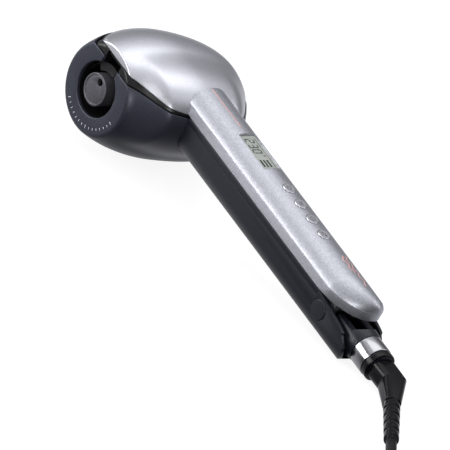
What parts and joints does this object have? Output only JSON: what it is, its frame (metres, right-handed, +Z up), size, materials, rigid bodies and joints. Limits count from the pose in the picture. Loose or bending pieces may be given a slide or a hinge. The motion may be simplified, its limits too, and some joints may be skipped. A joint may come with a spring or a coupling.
{
  "type": "automatic hair curler",
  "caption": "Corded automatic hair curler: a hinged jaw over a round head with a heated barrel, a rotor that winds the hair, and keys on the arm.",
  "frame": {"origin": "middle of the underside of the tool's box, on the surface that it lies on", "axes": "+X towards the tail of the handle, +Y from the flat face of the head into the head, +Z up; the tool lies on its head and its tail collar"},
  "size_m": [0.5028, 0.1397, 0.0773],
  "materials": {
    "graphite": "dark graphite plastic with a satin metallic fleck",
    "silver": "pearl silver lacquer over moulded plastic",
    "black": "black moulded plastic",
    "barrel": "grey ceramic coating",
    "chrome": "polished",
    "button": "satin silver",
    "window": "tinted display window",
    "board": "green circuit board",
    "steel": "plain steel",
    "brass": "plain",
    "aluminium": "extruded",
    "nylon": "natural nylon",
    "cord": "black flexible lead"
  },
  "bodies": {
    "root": {"lower_head_shell": "graphite", "lower_jaw_deck": "graphite", "chamber_liner": "black", "heated_barrel": "barrel", "barrel_cap": "barrel", "heater_core": "brass", "heater_clamps": "aluminium", "thermal_fuse": "brass", "temperature_sensor": "brass", "rotor_bush": "nylon", "drive_plate": "steel", "drive_motor": "steel", "idler_pin": "steel", "barrel_bracket": "steel", "lower_arm_shell": "graphite", "lower_arm_cover": "graphite", "hinge_pin": "steel", "hinge_cap_near": "graphite", "hinge_cap_far": "graphite", "jaw_spring": "steel", "main_board": "board", "board_parts": "black", "closing_sensor": "black", "power_leads": "black", "tail_neck": "graphite", "ferrule_ring": "chrome", "collar_lip": "black", "cord_lead": "cord", "cord_coil": "cord", "cord_tail": "cord", "plug_body": "black", "plug_pins": "brass"},
    "jaw": {"upper_head_shell": "silver", "upper_jaw_liner": "graphite", "hair_guide": "black", "upper_arm_top": "silver", "upper_arm_belt": "silver", "display_module": "black", "display_window": "window", "control_board": "board", "button_switches": "steel", "beeper": "black", "closing_magnet": "steel"},
    "rotor": {"curl_rotor": "graphite"},
    "idler": {"idler_gear": "nylon"},
    "pinion": {"motor_pinion": "brass"},
    "swivel": {"swivel_stem": "black", "swivel_elbow": "black", "cord_boot": "black"},
    "power_button_body": {"power_button": "button"},
    "heat_button_body": {"heat_button": "button"},
    "timer_button_body": {"timer_button": "button"},
    "direction_button_body": {"direction_button": "button"}
  },
  "joints": [
    {"name": "jaw_hinge", "type": "hinge", "parent": "root", "child": "jaw", "pos_m": [0.0625, 0.00027, 0.01935], "axis": [0, 1, 0], "range_deg": [0, 10]},
    {"name": "rotor_spin", "type": "hinge", "parent": "root", "child": "rotor", "pos_m": [-0.14706, 0.00877, 0.03921], "axis": [0, 1, 0], "continuous": true},
    {"name": "idler_spin", "type": "hinge", "parent": "root", "child": "idler", "pos_m": [-0.12109, 0.02127, 0.04041], "axis": [0, 1, 0], "continuous": true},
    {"name": "pinion_spin", "type": "hinge", "parent": "root", "child": "pinion", "pos_m": [-0.12249, 0.02127, 0.02547], "axis": [0, 1, 0], "continuous": true},
    {"name": "swivel_turn", "type": "hinge", "parent": "root", "child": "swivel", "pos_m": [0.11063, 0.00027, 0.0101], "axis": [0.9867, 0, -0.1627], "continuous": true},
    {"name": "power_press", "type": "slide", "parent": "jaw", "child": "power_button_body", "axis": [-0.1627, 0, -0.9867], "range_m": [0, 0.0008], "stiffness_N_per_m": 800},
    {"name": "heat_press", "type": "slide", "parent": "jaw", "child": "heat_button_body", "axis": [-0.1627, 0, -0.9867], "range_m": [0, 0.0008], "stiffness_N_per_m": 800},
    {"name": "timer_press", "type": "slide", "parent": "jaw", "child": "timer_button_body", "axis": [-0.1627, 0, -0.9867], "range_m": [0, 0.0008], "stiffness_N_per_m": 800},
    {"name": "direction_press", "type": "slide", "parent": "jaw", "child": "direction_button_body", "axis": [-0.1627, 0, -0.9867], "range_m": [0, 0.0008], "stiffness_N_per_m": 800}
  ],
  "couplings": [
    {"joint": "idler_spin", "follows": "rotor_spin", "ratio": -1.6},
    {"joint": "pinion_spin", "follows": "rotor_spin", "ratio": 3.2}
  ]
}
